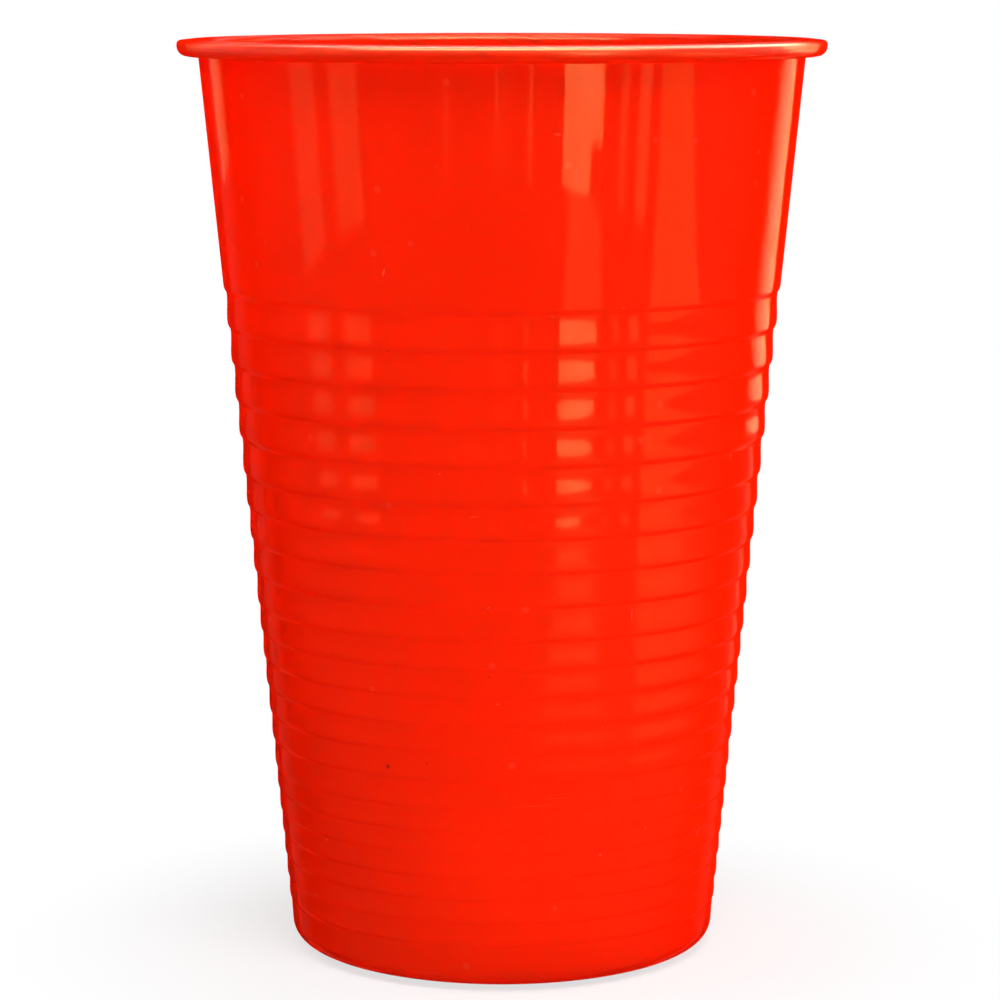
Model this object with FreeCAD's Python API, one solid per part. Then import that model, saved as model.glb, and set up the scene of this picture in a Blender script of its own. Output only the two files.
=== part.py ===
import FreeCAD, Part
import math
import os

# A drinking tumbler, formed in one piece from thin plastic sheet, with a stepped wall and a rolled lip.
# Its axis is Z and it stands on Z = 0. The section is drawn in the XZ plane as a row of corners that
# follows the outside of the sheet, from the middle of the base to the end of the lip's curl, and the
# inside is the same row moved one sheet thickness to the left of its path. Millimetres and degrees.

# Overall sizes
lip_diameter = 95.0
height = 135.0
base_diameter = 62.7        # of the wall's cone, carried down to Z = 0
sheet = 0.5                 # thickness of the plastic

# Steps in the wall, from the base up: how many bands, the height of each, the depth of the ledge on top
step_groups = [
    (7, 3.4, 0.18),
    (6, 4.1, 0.26),
    (4, 4.85, 0.33),
    (5, 5.4, 0.40),
]
first_band_height = 3.4     # where the lowest band leaves the base corner
ledge_angle = 30.0          # a ledge's slope from the vertical
ledge_round = 1.2           # at the lower corner of each band
notch_round = 0.4           # where a ledge leaves the band under it

# Rolled lip, measured on its outside
lip_overhang = 3.12         # from the wall to the edge of the lip
lip_depth = 2.52            # from the crest to the underside of the roll
crest_width = 1.8           # level top of the lip, before it falls to the outer edge
crown_fall = 0.15           # from the crest to the outer edge
crest_round = 1.1
crown_round = 10.0
lip_edge_round = 0.6
roll_round = 1.88
curl_fall = 0.15            # how far the end of the curl dips towards the wall
curl_gap = 0.2              # between the end of the curl and the wall

# Base: rounded corner, shallow chime, foot ring and raised panel
corner_round = 2.8
chime_width = 4.8
chime_angle = 14.0
chime_round = 3.0
foot_width = 2.6
foot_round = 1.2
panel_recess = 2.2
panel_slope = 60.0
panel_round = 0.8

# The wall's cone, which the lower corner of every band touches
base_radius = base_diameter / 2
lip_radius = lip_diameter / 2
lip_underside = height - lip_depth
cone_slope = (lip_radius - lip_overhang - base_radius) / lip_underside


def cone_radius(z):
    return base_radius + cone_slope * z


def base_corners():
    """Corners (radius, height, rounding) from the middle of the base to the rounded base corner."""
    chime_rise = chime_width * math.tan(math.radians(chime_angle))
    foot_outer = cone_radius(chime_rise) - chime_width
    foot_inner = foot_outer - foot_width
    panel_edge = foot_inner - panel_recess / math.tan(math.radians(panel_slope))
    return [
        (0.0, panel_recess, 0.0),
        (panel_edge, panel_recess, panel_round),
        (foot_inner, 0.0, foot_round),
        (foot_outer, 0.0, chime_round),
        (foot_outer + chime_width, chime_rise, corner_round),
    ]


def step_corners():
    """Two corners for each ledge: the notch over the band, and the lower corner of the band above it."""
    corners = []
    z = first_band_height
    for bands, band_height, ledge in step_groups:
        ledge_rise = ledge / math.tan(math.radians(ledge_angle))
        for _ in range(bands):
            z += band_height
            outer = cone_radius(z + ledge_rise)
            corners.append((outer - ledge, z, notch_round))
            corners.append((outer, z + ledge_rise, ledge_round))
    return corners


def lip_corners():
    """The sheet's underside over the crest, down the outer edge, and back under to the wall."""
    wall_top = cone_radius(height - sheet)
    inner_edge = lip_radius - sheet
    curl_height = lip_underside + sheet - curl_fall
    curl_end = cone_radius(curl_height) + curl_gap
    return [
        (wall_top, height - sheet, crest_round - sheet),
        (wall_top + crest_width, height - sheet, crown_round),
        (inner_edge, height - sheet - crown_fall, lip_edge_round - sheet),
        (inner_edge, lip_underside + sheet, roll_round - sheet),
        (curl_end, curl_height, 0.0),
    ]


def heading(start, end):
    """Unit vector from one corner to the next."""
    length = math.hypot(end[0] - start[0], end[1] - start[1])
    return (end[0] - start[0]) / length, (end[1] - start[1]) / length


def turn_at(before, after):
    """Angle between two headings, positive to the left."""
    cross = before[0] * after[1] - before[1] * after[0]
    dot = before[0] * after[0] + before[1] * after[1]
    return math.atan2(cross, dot)


def offset_left(corners, distance):
    """The same row of corners moved to the left of its path, with roundings that stay concentric."""
    headings = [heading(a, b) for a, b in zip(corners, corners[1:])]
    moved = []
    for i, (r, z, rounding) in enumerate(corners):
        before = headings[max(i - 1, 0)]
        after = headings[min(i, len(headings) - 1)]
        turn = turn_at(before, after)
        reach = distance / (1 + math.cos(turn))
        side = (-before[1] - after[1], before[0] + after[0])
        if 0 < i < len(corners) - 1:
            rounding -= math.copysign(distance, turn)
        moved.append((r + reach * side[0], z + reach * side[1], rounding))
    return moved


def point(r, z):
    return FreeCAD.Vector(r, 0, z)


def rounded_path(corners):
    """Straight runs and tangent arcs through the corners. No arc uses more than its share of a run."""
    headings = [heading(a, b) for a, b in zip(corners, corners[1:])]
    lengths = [math.dist(a[:2], b[:2]) for a, b in zip(corners, corners[1:])]
    wanted = [0.0]
    turns = [0.0]
    for i in range(1, len(corners) - 1):
        turns.append(turn_at(headings[i - 1], headings[i]))
        wanted.append(max(corners[i][2], 0.0) * math.tan(abs(turns[i]) / 2))
    wanted.append(0.0)

    edges = []
    here = point(*corners[0][:2])
    for i in range(1, len(corners)):
        r, z = corners[i][:2]
        corner = point(r, z)
        if wanted[i] > 0:
            share_before = lengths[i - 1] * wanted[i] / (wanted[i - 1] + wanted[i])
            share_after = lengths[i] * wanted[i] / (wanted[i] + wanted[i + 1])
            cut = min(wanted[i], share_before, share_after)
        else:
            cut = 0.0
        back = point(*headings[i - 1]) * cut
        arc_start = corner - back
        if (arc_start - here).Length > 1e-5:
            edges.append(Part.LineSegment(here, arc_start).toShape())
        else:
            arc_start = here
        here = arc_start
        if cut > 0:
            arc_end = corner + point(*headings[i]) * cut
            bisector = arc_start + arc_end - corner * 2
            radius = cut / math.tan(abs(turns[i]) / 2)
            middle_reach = radius * (1 / math.cos(turns[i] / 2) - 1)
            middle = corner + bisector.normalize() * middle_reach
            edges.append(Part.Arc(arc_start, middle, arc_end).toShape())
            here = arc_end
    return edges, here


def tumbler():
    outside = base_corners() + step_corners() + lip_corners()
    inside = offset_left(outside, sheet)
    outside_edges, outside_end = rounded_path(outside)
    inside_edges, inside_end = rounded_path(inside)
    curl_end = Part.LineSegment(outside_end, inside_end).toShape()
    axis = Part.LineSegment(point(0, inside[0][1]), point(0, outside[0][1])).toShape()
    section = Part.Wire(Part.__sortEdges__(outside_edges + [curl_end] + inside_edges + [axis]))
    return Part.Face(section).revolve(point(0, 0), FreeCAD.Vector(0, 0, 1), 360)


os.makedirs("parts", exist_ok=True)
tumbler().exportStep("parts/tumbler.step")
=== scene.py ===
import cmath
import math

import bpy
from bpy.props import (
    FloatProperty,
    FloatVectorProperty,
    IntProperty,
    IntVectorProperty,
    PointerProperty,
)
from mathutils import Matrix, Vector


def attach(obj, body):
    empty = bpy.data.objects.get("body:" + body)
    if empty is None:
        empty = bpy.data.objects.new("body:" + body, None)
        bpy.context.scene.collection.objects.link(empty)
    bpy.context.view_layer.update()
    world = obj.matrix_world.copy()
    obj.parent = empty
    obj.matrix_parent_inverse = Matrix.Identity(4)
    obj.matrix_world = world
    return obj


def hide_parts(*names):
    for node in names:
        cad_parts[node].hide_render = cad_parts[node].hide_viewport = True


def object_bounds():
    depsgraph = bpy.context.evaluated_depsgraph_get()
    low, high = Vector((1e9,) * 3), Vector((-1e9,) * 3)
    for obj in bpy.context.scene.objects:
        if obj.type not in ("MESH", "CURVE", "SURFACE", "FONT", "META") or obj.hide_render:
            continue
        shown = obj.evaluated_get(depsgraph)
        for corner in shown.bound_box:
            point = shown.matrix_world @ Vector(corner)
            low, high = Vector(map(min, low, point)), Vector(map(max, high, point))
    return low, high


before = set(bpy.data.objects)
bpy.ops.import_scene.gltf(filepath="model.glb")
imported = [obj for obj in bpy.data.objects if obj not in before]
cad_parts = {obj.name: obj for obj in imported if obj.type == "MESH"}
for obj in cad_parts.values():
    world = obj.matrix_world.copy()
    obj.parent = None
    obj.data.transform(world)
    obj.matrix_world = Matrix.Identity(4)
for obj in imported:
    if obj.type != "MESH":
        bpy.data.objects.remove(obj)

bl_info = {
    "name": "Stepped Drinking Tumbler",
    "version": (1, 0, 0),
    "blender": (4, 5, 0),
    "location": "View3D > Sidebar > Tumbler",
    "description": "Builds a glossy plastic tumbler with a rolled lip and a stepped wall, "
    "on a plain stage",
    "category": "Add Mesh",
}

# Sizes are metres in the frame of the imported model: +Z is up, and the cup stands on Z = 0.
MM = 0.001
CAD_LOW, CAD_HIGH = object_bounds()

# Points of the section that are nearer to each other become one, and edges that are sharper stay
# creased.
SHORTEST_EDGE = 0.02 * MM
CREASE_ANGLE = math.radians(30.0)

# Where the lip's own gloss starts and where it is full: up the cup, out from its axis, and round
# from the sides to the front, where the side is 0 and the front 1.
LIP_GLOSS_HEIGHTS = (132.9 * MM, 134.3 * MM)
LIP_GLOSS_RADII = (44.0 * MM, 44.6 * MM)
LIP_GLOSS_FRONT = (0.3, 0.6)

# Where the seen floor's glow starts to take over from its matt paint, and where it has done so.
FLOOR_GLOW_RADII = (30 * MM, 80 * MM)

# Lamps and cards that lie on the floor are at two heights, so that they don't hide each other.
FLOOR_LAMP_HEIGHT = 2 * MM
FLOOR_CARD_HEIGHT = 4 * MM

# Window panes stand in a ring round the cup, and end a little below the lip.
WINDOW_DISTANCE = 475 * MM
WINDOW_TOP = 100 * MM
DAYLIGHT = (1.0, 1.0, 0.85)
YELLOW_SHEEN = (1.0, 1.0, 0.5)
AMBER = (1.0, 0.9, 0.42)
# Each pane's turn from the front in degrees, its width and foot in metres, and its brightness.
WINDOWS = (
    (23.05, 0.014, 0.003, 19.0),
    (28.6, 0.072, 0.003, 19.0),
    (35.0, 0.036, 0.018, 19.0),
    (9.9, 0.010, 0.003, 5.0),
    (-1.7, 0.004, 0.003, 5.0),
    (0.6, 0.003, 0.003, 4.0),
    (-20.5, 0.006, 0.003, 3.0),
    (44.7, 0.020, 0.003, 3.5),
    (53.3, 0.036, 0.003, 4.5),
    (-78.0, 0.090, 0.003, 3.0),
    (-62.0, 0.055, 0.003, 3.0),
    (-55.8, 0.040, 0.003, 3.5),
)

# Marks on the wall: turn from the front in whole degrees, growing to the right, height, length and
# width in millimetres, lean from the level in degrees, and strength.
MARK_RADIUS = 38 * MM
SCRATCHES = (
    (-23, 104, 1.6, 0.35, 75, 1.0),
    (10, 123, 1.2, 0.6, 0, 0.6),
    (24, 99, 0.5, 0.4, 0, 0.6),
    (10, 98, 1.3, 0.25, -20, 0.5),
    (-13, 76, 0.4, 0.4, 0, 0.7),
    (-6, 70, 1.8, 0.25, 8, 0.6),
    (-3, 57, 0.8, 0.25, 35, 0.7),
    (30, 55, 2.4, 0.25, 88, 0.8),
    (-1, 43, 0.6, 0.4, 0, 0.8),
    (24, 39, 0.5, 0.3, 30, 0.4),
    (33, 36, 0.7, 0.25, 60, 0.6),
    (13, 29, 6.0, 0.2, -2, 0.25),
    (8, 28, 9.0, 0.2, 2, 0.3),
    (67, 25, 0.5, 0.4, 0, 0.5),
    (38, 23, 1.2, 0.25, 90, 0.6),
    (25, 20, 0.5, 0.4, 0, 0.9),
    (-50, 20, 0.5, 0.4, 0, 0.8),
)
SPECKS = (
    (-23, 93, 0.7, 0.3, 0, 0.3),
    (-3, 47, 0.4, 0.4, 0, 0.4),
    (-18, 34, 0.5, 0.3, 0, 0.4),
    (-28, 33, 0.9, 0.8, 0, 0.6),
)


# ------------------------------------------------------------------ sizes and colours


def length(name, description, default):
    return FloatProperty(
        name=name, description=description, default=default, min=0.0, unit="LENGTH", precision=5
    )


def angle(name, description, degrees):
    return FloatProperty(
        name=name, description=description, default=math.radians(degrees), subtype="ANGLE"
    )


def share(name, description, default):
    return FloatProperty(
        name=name, description=description, default=default, min=0.0, max=1.0, subtype="FACTOR"
    )


def colour(name, description, red, green, blue):
    return FloatVectorProperty(
        name=name, description=description, default=(red, green, blue), size=3,
        min=0.0, max=1.0, subtype="COLOR",
    )


class TumblerSizes(bpy.types.PropertyGroup):
    """Sizes of the cup's section and the fineness of its mesh."""

    lip_diameter: length("Lip diameter", "Across the rolled lip", CAD_HIGH.x - CAD_LOW.x)
    height: length("Height", "From the table to the crest of the lip", CAD_HIGH.z - CAD_LOW.z)
    base_diameter: length(
        "Base diameter", "Of the wall's cone, carried down to the table", 62.7 * MM
    )
    sheet: length("Sheet", "Thickness of the plastic", 0.5 * MM)

    band_counts: IntVectorProperty(
        name="Bands", description="How many bands each group has, from the base up",
        default=(7, 6, 4, 5), size=4, min=0,
    )
    band_heights: FloatVectorProperty(
        name="Band heights", description="Height of each band in its group",
        default=(3.4 * MM, 4.1 * MM, 4.85 * MM, 5.4 * MM), size=4, unit="LENGTH", precision=5,
    )
    ledge_depths: FloatVectorProperty(
        name="Ledge depths", description="Depth of the ledge on top of each band in its group",
        default=(0.18 * MM, 0.26 * MM, 0.33 * MM, 0.40 * MM), size=4, unit="LENGTH", precision=5,
    )
    first_band_height: length(
        "First band", "Where the lowest band leaves the base corner", 3.4 * MM
    )
    ledge_angle: angle("Ledge angle", "A ledge's slope from the vertical", 30.0)
    ledge_round: length("Ledge rounding", "At the lower corner of each band", 1.2 * MM)
    notch_round: length("Notch rounding", "Where a ledge leaves the band under it", 0.4 * MM)
    band_curve: angle(
        "Band curve", "How much less a band leans at mid height than on average", 3.4
    )
    band_points: IntProperty(
        name="Band points", description="Rings up each band", default=5, min=1
    )

    lip_overhang: length("Lip overhang", "From the wall to the edge of the lip", 3.12 * MM)
    lip_depth: length("Lip depth", "From the crest to the underside of the roll", 2.35 * MM)
    crest_width: length("Crest width", "Level top of the lip", 1.8 * MM)
    crown_fall: length("Crown fall", "From the crest to the outer edge", 0.15 * MM)
    crest_round: length("Crest rounding", "Where the wall turns into the lip", 1.1 * MM)
    crown_round: length("Crown rounding", "Where the lip starts to fall", 10.0 * MM)
    lip_edge_round: length("Lip edge rounding", "At the top of the outer edge", 0.95 * MM)
    roll_round: length("Roll rounding", "At the bottom of the outer edge", 1.4 * MM)
    curl_fall: length("Curl fall", "How far the end of the curl dips", 0.15 * MM)
    curl_gap: length("Curl gap", "Between the end of the curl and the wall", 0.2 * MM)

    corner_round: length("Corner rounding", "At the base corner", 2.8 * MM)
    chime_width: length("Chime width", "Between the foot ring and the base corner", 4.8 * MM)
    chime_angle: angle("Chime angle", "The chime's slope", 14.0)
    chime_round: length("Chime rounding", "Where the chime leaves the foot ring", 3.0 * MM)
    foot_width: length("Foot width", "Of the ring the cup stands on", 2.6 * MM)
    foot_round: length("Foot rounding", "At the inside of the foot ring", 1.2 * MM)
    panel_recess: length("Panel recess", "How far the base panel is raised", 2.2 * MM)
    panel_slope: angle("Panel slope", "Of the step up to the panel", 60.0)
    panel_round: length("Panel rounding", "At the edge of the panel", 0.8 * MM)

    around: IntProperty(
        name="Around", description="Faces in one turn of the cup", default=150, min=24
    )
    outside_step: angle("Outside step", "Largest turn between faces of a rounding outside", 10.0)
    inside_step: angle("Inside step", "Largest turn between faces of a rounding inside", 15.0)


class TumblerFinish(bpy.types.PropertyGroup):
    """Colours and gloss of the plastic."""

    plastic: colour("Plastic", "The moulded red", 0.95, 0.014, 0.0006)
    deep: colour("Deep red", "Where the sheet is thicker", 0.89, 0.010, 0.0004)
    speck: colour("Speck", "Dark specks in the plastic", 0.10, 0.004, 0.002)
    scratch: colour("Scratch", "Pale scuffs and scratches", 1.0, 0.16, 0.08)
    gloss_tint: colour("Gloss tint", "What the surface mirrors head on", 1.0, 0.55, 0.22)
    gloss: share("Gloss", "Strength of what the surface mirrors", 0.45)
    roughness: share("Roughness", "Of the clean plastic", 0.02)


class TumblerStage(bpy.types.PropertyGroup):
    """Floor, light and camera."""

    floor: colour("Floor", "What the floor throws back on the cup", 0.75, 0.75, 0.75)
    floor_seen: colour("Floor seen", "The plain pale floor, as it is seen", 0.85, 0.85, 0.85)
    floor_size: length("Floor size", "Side of the floor", 4.0)
    room_light: share("Room light", "Strength of the light from all round", 0.13)
    camera_distance: length("Camera distance", "From the cup's axis, level", 522.5 * MM)
    camera_height: length("Camera height", "Above the table", 145.32 * MM)
    camera_side: length("Camera side", "How far the camera stands to the left", 0.295 * MM)
    camera_tilt: angle("Camera tilt", "Below the level", 8.557)
    camera_lens: FloatProperty(
        name="Lens", description="Focal length for a 36 mm wide sensor",
        default=127.46, unit="CAMERA",
    )


# ------------------------------------------------------------------ section of the cup
#
# A point of the section is a complex number, radius + height j. A corner is a point and its
# rounding. The row of corners follows the outside of the sheet from the middle of the base to the
# end of the lip's curl, and the inside is the same row moved one sheet thickness to the left of
# its path.


def cone_radius(sizes, height):
    underside = sizes.height - sizes.lip_depth
    wall_radius = sizes.lip_diameter / 2 - sizes.lip_overhang
    base_radius = sizes.base_diameter / 2
    return base_radius + (wall_radius - base_radius) * height / underside


def base_corners(sizes):
    chime_rise = sizes.chime_width * math.tan(sizes.chime_angle)
    foot_outer = cone_radius(sizes, chime_rise) - sizes.chime_width
    foot_inner = foot_outer - sizes.foot_width
    panel_edge = foot_inner - sizes.panel_recess / math.tan(sizes.panel_slope)
    return [
        (complex(0, sizes.panel_recess), 0.0),
        (complex(panel_edge, sizes.panel_recess), sizes.panel_round),
        (complex(foot_inner, 0), sizes.foot_round),
        (complex(foot_outer, 0), sizes.chime_round),
        (complex(foot_outer + sizes.chime_width, chime_rise), sizes.corner_round),
    ]


def band_corners(sizes, foot, notch):
    """Points up a band. It leans least at mid height: it bulges below and is hollow above."""
    corners = []
    for k in range(sizes.band_points):
        up = (k + 1) / (sizes.band_points + 1) - 0.5
        bulge = (4 * up**3 - up) * math.tan(sizes.band_curve)
        corners.append(((foot + notch) / 2 + (notch - foot) * (up - 1j * bulge), 0.0))
    return corners


def step_corners(sizes):
    """The notch over each band, and the rounded lower corner of the band above it."""
    corners = []
    height = sizes.first_band_height
    groups = zip(sizes.band_counts, sizes.band_heights, sizes.ledge_depths)
    for bands, band_height, ledge in groups:
        rise = ledge / math.tan(sizes.ledge_angle)
        for _ in range(bands):
            height += band_height
            outer = cone_radius(sizes, height + rise)
            notch = complex(outer - ledge, height)
            if corners:
                corners += band_corners(sizes, corners[-1][0], notch)
            corners.append((notch, sizes.notch_round))
            corners.append((complex(outer, height + rise), sizes.ledge_round))
    return corners


def lip_corners(sizes):
    """Under the crest, down inside the outer edge, and back along the roll to the wall."""
    sheet = sizes.sheet
    top = sizes.height - sheet
    edge = sizes.lip_diameter / 2 - sheet
    underside = sizes.height - sizes.lip_depth
    wall_top = cone_radius(sizes, top)
    curl_height = underside + sheet - sizes.curl_fall
    curl_end = cone_radius(sizes, curl_height) + sizes.curl_gap
    return [
        (complex(wall_top, top), sizes.crest_round - sheet),
        (complex(wall_top + sizes.crest_width, top), sizes.crown_round),
        (complex(edge, top - sizes.crown_fall), sizes.lip_edge_round - sheet),
        (complex(edge, underside + sheet), sizes.roll_round - sheet),
        (complex(curl_end, curl_height), 0.0),
    ]


def headings(corners):
    """Unit steps from each corner to the next."""
    return [(b - a) / abs(b - a) for (a, _), (b, _) in zip(corners, corners[1:])]


def offset_left(corners, distance):
    """The same row moved to the left of its path, with roundings that keep their centres."""
    ways = headings(corners)
    moved = []
    for i, (point, rounding) in enumerate(corners):
        before, after = ways[max(i - 1, 0)], ways[min(i, len(ways) - 1)]
        turn = cmath.phase(after / before)
        if 0 < i < len(corners) - 1:
            rounding -= math.copysign(distance, turn)
        moved.append((point + 1j * (before + after) * distance / (1 + math.cos(turn)), rounding))
    return moved


def rounded(corners, step):
    """Points along straight runs and tangent arcs through the corners."""
    ways = headings(corners)
    runs = [abs(b - a) for (a, _), (b, _) in zip(corners, corners[1:])]
    turns = [0.0] + [cmath.phase(after / before) for before, after in zip(ways, ways[1:])] + [0.0]
    wanted = [max(c[1], 0.0) * math.tan(abs(turn) / 2) for c, turn in zip(corners, turns)]
    points = []
    for i, (corner, _) in enumerate(corners):
        if wanted[i] <= 0:
            points.append(corner)
            continue
        cut = min(
            wanted[i],
            runs[i - 1] * wanted[i] / (wanted[i - 1] + wanted[i]),
            runs[i] * wanted[i] / (wanted[i] + wanted[i + 1]),
        )
        start = corner - ways[i - 1] * cut
        radius = cut / math.tan(abs(turns[i]) / 2)
        centre = start + math.copysign(radius, turns[i]) * 1j * ways[i - 1]
        pieces = math.ceil(abs(turns[i]) / step)
        for k in range(pieces + 1):
            points.append(centre + (start - centre) * cmath.rect(1, turns[i] * k / pieces))
    spaced = points[:1]
    for point in points[1:]:
        if abs(point - spaced[-1]) > SHORTEST_EDGE:
            spaced.append(point)
    return spaced


def cup_section(sizes):
    """The closed section, from the axis under the base, round the sheet, and back to the axis."""
    outside = base_corners(sizes) + step_corners(sizes) + lip_corners(sizes)
    inside = offset_left(outside, sizes.sheet)
    return rounded(outside, sizes.outside_step) + rounded(inside, sizes.inside_step)[::-1]


def turned(name, section, around):
    """A solid of revolution. The section starts and ends on the axis."""
    verts = [(0, 0, section[0].imag)]
    for point in section[1:-1]:
        for k in range(around):
            spot = cmath.rect(point.real, 2 * math.pi * k / around)
            verts.append((spot.real, spot.imag, point.imag))
    verts.append((0, 0, section[-1].imag))

    faces = []
    rings = len(section) - 2
    last = len(verts) - 1
    for k in range(around):
        after = (k + 1) % around
        faces.append((0, 1 + after, 1 + k))
        for ring in range(rings - 1):
            low, high = 1 + ring * around, 1 + (ring + 1) * around
            faces.append((low + k, low + after, high + after, high + k))
        top = 1 + (rings - 1) * around
        faces.append((top + k, top + after, last))

    mesh = bpy.data.meshes.new(name)
    mesh.from_pydata(verts, [], faces)
    mesh.shade_smooth()
    mesh.set_sharp_from_angle(angle=CREASE_ANGLE)
    piece = bpy.data.objects.new(name, mesh)
    bpy.context.scene.collection.objects.link(piece)
    even = piece.modifiers.new("Even shading", "WEIGHTED_NORMAL")
    even.keep_sharp = True
    return piece


# ------------------------------------------------------------------ shader maths


class Value:
    """A socket of a node, so that shader maths is written as arithmetic."""

    def __init__(self, nodes, socket):
        self.nodes = nodes
        self.socket = socket

    def math(self, operation, *others):
        return self.nodes.add(
            "ShaderNodeMath", {"operation": operation}, dict(enumerate((self, *others)))
        )

    def out(self, name):
        """Another output of the same node."""
        return Value(self.nodes, self.socket.node.outputs[name])

    def __add__(self, other):
        return self.math("ADD", other)

    __radd__ = __add__

    def __rsub__(self, other):
        return self.nodes.add("ShaderNodeMath", {"operation": "SUBTRACT"}, {0: other, 1: self})

    def __mul__(self, other):
        return self.math("MULTIPLY", other)

    __rmul__ = __mul__

    def __truediv__(self, other):
        return self.math("DIVIDE", other)

    def __neg__(self):
        return self * -1.0

    def larger(self, other):
        return self.math("MAXIMUM", other)

    def between(self, low, high, start=0.0, end=1.0):
        """Eases from start at low to end at high."""
        return self.nodes.add(
            "ShaderNodeMapRange",
            {"interpolation_type": "SMOOTHSTEP"},
            {"Value": self, "From Min": low, "From Max": high, "To Min": start, "To Max": end},
        )


class Nodes:
    """The node tree of a material or the world, emptied to be built again."""

    def __init__(self, tree):
        self.tree = tree
        tree.nodes.clear()

    def add(self, kind, settings=None, values=None, output=0):
        """A new node with its settings, then its sockets' values or links. Gives one output."""
        node = self.tree.nodes.new(kind)
        for name, setting in (settings or {}).items():
            setattr(node, name, setting)
        for name, value in (values or {}).items():
            if isinstance(value, Value):
                self.tree.links.new(value.socket, node.inputs[name])
            else:
                node.inputs[name].default_value = value
        return Value(self, node.outputs[output]) if node.outputs else None

    def mix_colour(self, amount, first, second):
        colours = {6: opaque(first), 7: opaque(second)}
        return self.add("ShaderNodeMix", {"data_type": "RGBA"}, {0: amount, **colours}, 2)

    def noise(self, place, scale, detail, roughness=0.5):
        return self.add(
            "ShaderNodeTexNoise", None,
            {"Vector": place, "Scale": scale, "Detail": detail, "Roughness": roughness},
        )

    def marks(self, place, marks):
        """Small soft strokes, each at (turn, height), with its length, width and lean."""
        total = 0.0
        for turn, height, long, wide, lean, strength in marks:
            local = self.add(
                "ShaderNodeMapping", {"vector_type": "TEXTURE"},
                {
                    "Vector": place,
                    "Location": (math.radians(turn) * MARK_RADIUS, height * MM, 0),
                    "Rotation": (0, 0, math.radians(lean)),
                    "Scale": (long * MM / 2, wide * MM / 2, 1),
                },
            )
            stroke = self.add(
                "ShaderNodeTexGradient", {"gradient_type": "SPHERICAL"}, {"Vector": local}, "Fac"
            )
            total = stroke.math("MULTIPLY_ADD", 2.0 * strength, total)
        return total

    def seen_directly(self):
        """1 for what the camera sees, itself, mirrored or through glass."""
        path = self.add("ShaderNodeLightPath", output="Is Camera Ray")
        return path.larger(path.out("Is Glossy Ray")).larger(path.out("Is Transmission Ray"))


def opaque(shade):
    return shade if isinstance(shade, Value) else (*shade, 1.0)


def new_material(name):
    material = bpy.data.materials.new(name)
    material.use_nodes = True
    return material, Nodes(material.node_tree)


# ------------------------------------------------------------------ materials


def red_plastic(finish):
    """Glossy formed plastic with slight waves from its forming, light wear and a duller lip."""
    material, nodes = new_material("red_plastic")
    place = nodes.add("ShaderNodeTexCoord", output="Object")
    split = nodes.add("ShaderNodeSeparateXYZ", None, {0: place}, "X")
    height = split.out("Z")

    # The sheet is drawn down the mould, so its waves and streaks run up the wall.
    stretched = nodes.add(
        "ShaderNodeVectorMath", {"operation": "MULTIPLY"}, {0: place, 1: (1.0, 1.0, 0.12)}
    )
    waves = nodes.noise(stretched, 160.0, 1.0)
    streaks = nodes.noise(stretched, 1800.0, 2.0, 0.6)
    ripples = nodes.noise(place, 350.0, 2.0)
    grain = nodes.noise(place, 3500.0, 3.0, 0.6)

    # Marks lie on the wall unrolled: across in the turn from the front, and up in the height.
    turn = split.math("ARCTAN2", -split.out("Y"))
    unrolled = nodes.add("ShaderNodeCombineXYZ", None, {0: turn * MARK_RADIUS, 1: height})
    scratches = nodes.marks(unrolled, SCRATCHES)
    specks = nodes.marks(unrolled, SPECKS)
    dust = nodes.add(
        "ShaderNodeTexVoronoi", None, {"Vector": place, "Scale": 130.0}, "Distance"
    ).between(0.05, 0.09, 1.0, 0.0)

    shade = nodes.mix_colour(nodes.noise(place, 45.0, 3.0), finish.plastic, finish.deep)
    shade = nodes.mix_colour(0.8 * specks, shade, finish.speck)
    shade = nodes.mix_colour(0.35 * scratches + 0.12 * dust, shade, finish.scratch)
    radius = (split * split + split.out("Y") * split.out("Y")).math("SQRT")
    on_lip = height.between(*LIP_GLOSS_HEIGHTS) * radius.between(*LIP_GLOSS_RADII)
    dull = finish.roughness + 0.02 * ripples + 0.02 * grain + 0.2 * scratches + 0.25 * on_lip
    # Heights in millimetres. The lip is smoother than the wall.
    bumps = 0.05 * waves + 0.001 * streaks + 0.005 * ripples + 0.0002 * grain
    bumps = bumps * (1.0 - 0.9 * on_lip)
    normal = nodes.add(
        "ShaderNodeBump", None, {"Strength": 1.0, "Distance": MM, "Height": bumps}, "Normal"
    )

    def plastic(gloss):
        return nodes.add(
            "ShaderNodeBsdfPrincipled", {"subsurface_method": "BURLEY"},
            {
                "Base Color": shade,
                "Roughness": dull,
                "Normal": normal,
                "IOR": 1.5,
                "Subsurface Weight": 1.0,
                "Subsurface Radius": (1.0, 0.2, 0.1),
                "Subsurface Scale": 2.0 * MM,
                "Specular IOR Level": gloss,
                "Specular Tint": opaque(finish.gloss_tint),
            },
        )

    # The gloss fades out where the wall is seen more and more edge on, and a little of it comes
    # back near the outline. The lip has its own, which lies on its outer edge at the front.
    slant = nodes.add("ShaderNodeLayerWeight", None, {"Blend": 0.5}, "Facing")
    rim = slant.between(0.58, 0.72) * slant.between(0.75, 0.785, 1.0, 0.0)
    glossy = slant.between(0.14, 0.56, 0.27, 0.0) + 0.06 * rim
    glossy = glossy * streaks.between(0.35, 0.65, 1.0, 0.6)
    front = (-split.out("Y") / radius).between(*LIP_GLOSS_FRONT, 0.02, 1.0)
    glossy = glossy.larger(on_lip * front * slant.between(0.3, 0.8, 0.8, 0.10))
    surface = nodes.add(
        "ShaderNodeMixShader", None,
        {0: 1.0 - glossy, 1: plastic(finish.gloss), 2: plastic(0.0)},
    )
    nodes.add("ShaderNodeOutputMaterial", None, {"Surface": surface})
    return material


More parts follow.
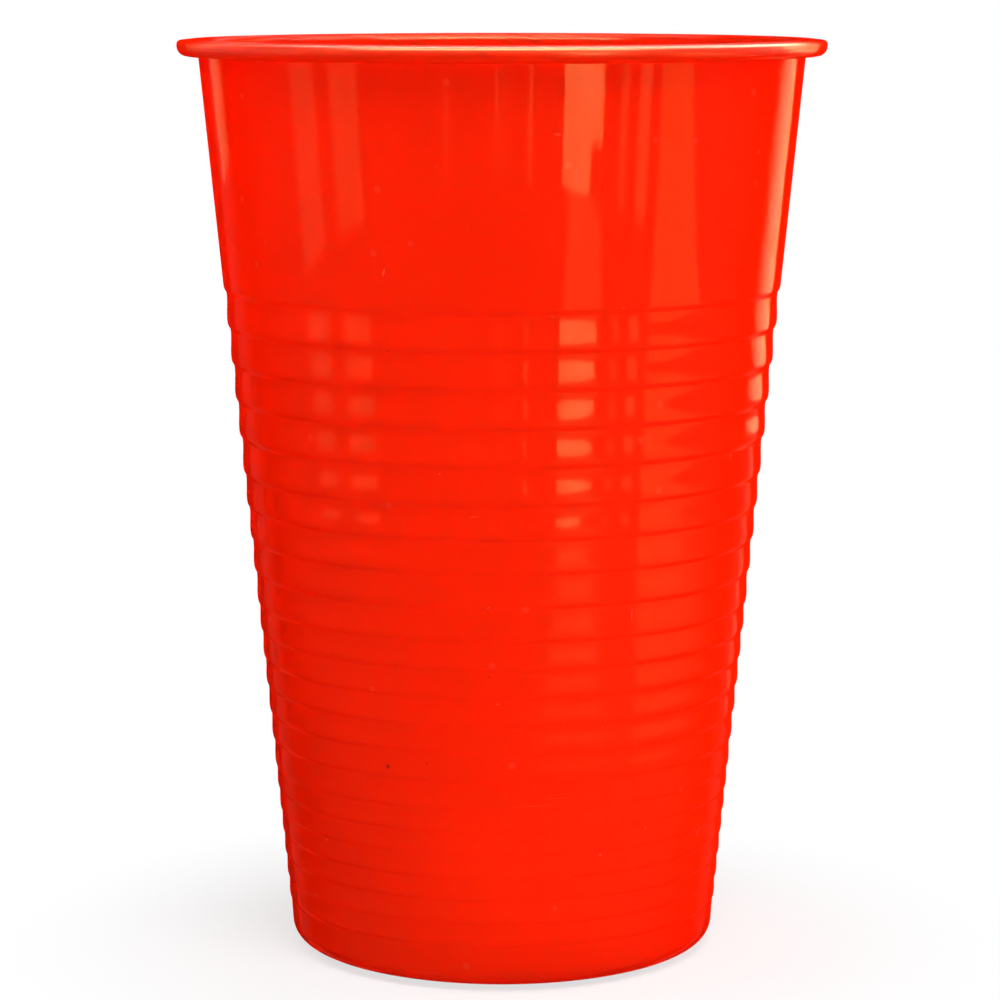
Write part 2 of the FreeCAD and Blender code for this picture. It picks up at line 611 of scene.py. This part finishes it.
def floor_paint(stage):
    """Matt pale floor that keeps shadows near the cup and is plain white further off."""
    material, nodes = new_material("floor_paint")
    place = nodes.add("ShaderNodeTexCoord", output="Object")
    away = nodes.add("ShaderNodeVectorMath", {"operation": "LENGTH"}, {0: place}, "Value")
    seen = nodes.seen_directly()
    white = seen * away.between(*FLOOR_GLOW_RADII, 0.7, 1.0)
    shade = nodes.mix_colour(seen, stage.floor, stage.floor_seen)
    matt = nodes.add("ShaderNodeBsdfDiffuse", None, {"Color": shade})
    glow = nodes.add("ShaderNodeEmission", None, {"Color": (1, 1, 1, 1), "Strength": 1.0})
    surface = nodes.add("ShaderNodeMixShader", None, {0: white, 1: matt, 2: glow})
    nodes.add("ShaderNodeOutputMaterial", None, {"Surface": surface})
    return material


def white_room(stage):
    """Even light from all round, white where the camera sees it."""
    world = bpy.data.worlds.new("white_room")
    world.use_nodes = True
    bpy.context.scene.world = world
    nodes = Nodes(world.node_tree)
    strength = nodes.seen_directly().between(0.0, 1.0, stage.room_light, 1.0)
    sky = nodes.add("ShaderNodeBackground", None, {"Color": (1, 1, 1, 1), "Strength": strength})
    nodes.add("ShaderNodeOutputWorld", None, {"Surface": sky})


# ------------------------------------------------------------------ stage


def lamp(name, place, aim, width, depth, brightness, shade=(1, 1, 1)):
    """A rectangular softbox. A brightness of 1 is as bright as white paper. It isn't mirrored."""
    light = bpy.data.lights.new(name, "AREA")
    light.shape = "RECTANGLE"
    light.size, light.size_y = width, depth
    light.energy = brightness * math.pi * width * depth
    light.color = shade
    softbox = bpy.data.objects.new(name, light)
    softbox.location = place
    aim = Vector(aim) - Vector(place)
    softbox.rotation_euler = aim.to_track_quat("-Z", "Y").to_euler()
    softbox.visible_camera = False
    softbox.visible_glossy = False
    bpy.context.scene.collection.objects.link(softbox)
    return softbox


def card(*settings):
    """A bright card that shows only as what the gloss mirrors."""
    reflector = lamp(*settings)
    reflector.visible_glossy = True
    reflector.visible_diffuse = False
    return reflector


def flat(make, name, turn, distance, aside, width, depth, brightness, shade=(1, 1, 1)):
    """A lamp or card on the floor that shines up. Its depth runs out from the cup."""
    across = Vector(round_about(turn + 90, aside, 0))
    height = FLOOR_CARD_HEIGHT if make is card else FLOOR_LAMP_HEIGHT
    place = Vector(round_about(turn, distance, height)) + across
    softbox = make(name, place, place + Vector((0, 0, 1)), width, depth, brightness, shade)
    softbox.rotation_euler = (math.pi, 0, math.radians(turn))


def round_about(turn, distance, height):
    """A place round the cup. The turn is in degrees from the front, growing to the right."""
    a = math.radians(turn)
    return (distance * math.sin(a), -distance * math.cos(a), height)


# ------------------------------------------------------------------ operators


class TUMBLER_OT_cup(bpy.types.Operator):
    """Turn the cup's section into one glossy red piece"""

    bl_idname = "tumbler.cup"
    bl_label = "Cup"

    def execute(self, context):
        sizes = context.scene.tumbler_sizes
        cup = turned("red_tumbler", cup_section(sizes), sizes.around)
        cup.data.materials.append(red_plastic(context.scene.tumbler_finish))
        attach(cup, "root")
        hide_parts("tumbler")
        return {"FINISHED"}


class TUMBLER_OT_stage(bpy.types.Operator):
    """Add the floor, the lights and the camera"""

    bl_idname = "tumbler.stage"
    bl_label = "Stage"

    def execute(self, context):
        stage = context.scene.tumbler_stage
        self.add_floor(context, stage)
        white_room(stage)
        self.add_lamps()
        self.add_camera(context, stage)
        return {"FINISHED"}

    def add_floor(self, context, stage):
        half = stage.floor_size / 2
        mesh = bpy.data.meshes.new("floor")
        corners = [(-half, -half, 0), (half, -half, 0), (half, half, 0), (-half, half, 0)]
        mesh.from_pydata(corners, [], [(0, 1, 2, 3)])
        mesh.materials.append(floor_paint(stage))
        floor = bpy.data.objects.new("floor", mesh)
        context.scene.collection.objects.link(floor)

    def add_lamps(self):
        middle = (0, 0, 0.08)
        lamp("key", round_about(20, 0.45, 0.80), middle, 0.4, 0.4, 10.9)
        lamp("right", round_about(105, 0.95, 0.42), middle, 0.5, 0.5, 6.0)
        lamp("left", round_about(-80, 0.16, 0.25), (-0.04, 0, 0.13), 0.12, 0.12, 4.0)
        flat(lamp, "left_table", -50, 0.50, 0.0, 0.6, 0.6, 0.8)
        flat(lamp, "right_table", 50, 0.50, 0.0, 0.6, 0.6, 0.6)
        # The sunlit table lights the wall and the base corner from below.
        for turn in (15, 45, 75, 100):
            flat(lamp, "near_table", turn, 0.08, 0.0, 0.05, 0.05, 0.95)
        for turn in (0, 30, 60, 90):
            flat(lamp, "foot_light", turn, 0.062, 0.0, 0.03, 0.03, 0.9)

        card("skylight", round_about(121, 0.25, 0.75), middle, 1.4, 1.4, 20.0)
        card("front_sky", round_about(0, 1.2, 0.95), middle, 3.2, 0.8, 60.0)
        for turn, width, low, brightness in WINDOWS:
            level = (low + WINDOW_TOP) / 2
            place = round_about(turn, WINDOW_DISTANCE, level)
            card("window", place, (0, 0, level), width, WINDOW_TOP - low, brightness, DAYLIGHT)
        # Sunlit table in front of the windows, dimmer near the cup so that its edge doesn't show.
        flat(card, "table_sheen", 60, 0.62, 0.09, 0.18, 0.60, 3.8, YELLOW_SHEEN)
        flat(card, "near_table_sheen", 60, 0.235, 0.09, 0.18, 0.17, 2.4, YELLOW_SHEEN)
        flat(card, "window_sheen", 31, 0.36, 0.0, 0.10, 0.22, 3.2, DAYLIGHT)
        flat(card, "near_window_sheen", 31, 0.205, 0.0, 0.10, 0.09, 1.6, DAYLIGHT)
        # Tall windows behind, that show as stripes near the cup's two outlines.
        place = round_about(139, 0.4, 0.243)
        card("right_window", place, (0, 0, 0.243), 0.3, 0.434, 28.0, AMBER)
        place = round_about(-133, 0.4, 0.27)
        card("left_window", place, (0, 0, 0.18), 0.09, 0.42, 10.0, AMBER)
        flat(card, "rim_sheen", 142, 0.36, 0.0, 0.07, 0.40, 3.0, AMBER)

    def add_camera(self, context, stage):
        data = bpy.data.cameras.new("camera")
        data.sensor_width = 36.0
        data.lens = stage.camera_lens
        camera = bpy.data.objects.new("camera", data)
        camera.location = (-stage.camera_side, -stage.camera_distance, stage.camera_height)
        camera.rotation_euler = (math.pi / 2 - stage.camera_tilt, 0, 0)
        context.scene.collection.objects.link(camera)
        context.scene.camera = camera
        context.scene.view_settings.view_transform = "Standard"


class TUMBLER_PT_panel(bpy.types.Panel):
    """Lists the pieces and their sizes"""

    bl_idname = "TUMBLER_PT_panel"
    bl_label = "Tumbler"
    bl_space_type = "VIEW_3D"
    bl_region_type = "UI"
    bl_category = "Tumbler"

    def draw(self, context):
        layout = self.layout
        for operator in OPERATORS:
            layout.operator(operator.bl_idname)
        for name in GROUPS:
            group = getattr(context.scene, name)
            layout.label(text=group.bl_rna.name)
            for key in group.bl_rna.properties.keys():
                if key not in ("rna_type", "name"):
                    layout.prop(group, key)


OPERATORS = (TUMBLER_OT_cup, TUMBLER_OT_stage)
GROUPS = {
    "tumbler_sizes": TumblerSizes,
    "tumbler_finish": TumblerFinish,
    "tumbler_stage": TumblerStage,
}


def register():
    for group in GROUPS.values():
        bpy.utils.register_class(group)
    for operator in OPERATORS:
        bpy.utils.register_class(operator)
    bpy.utils.register_class(TUMBLER_PT_panel)
    for name, group in GROUPS.items():
        setattr(bpy.types.Scene, name, PointerProperty(type=group))


def unregister():
    for name in GROUPS:
        delattr(bpy.types.Scene, name)
    bpy.utils.unregister_class(TUMBLER_PT_panel)
    for operator in reversed(OPERATORS):
        bpy.utils.unregister_class(operator)
    for group in GROUPS.values():
        bpy.utils.unregister_class(group)


def main():
    register()
    bpy.ops.tumbler.cup()
    bpy.ops.tumbler.stage()


if __name__ == "__main__":
    main()
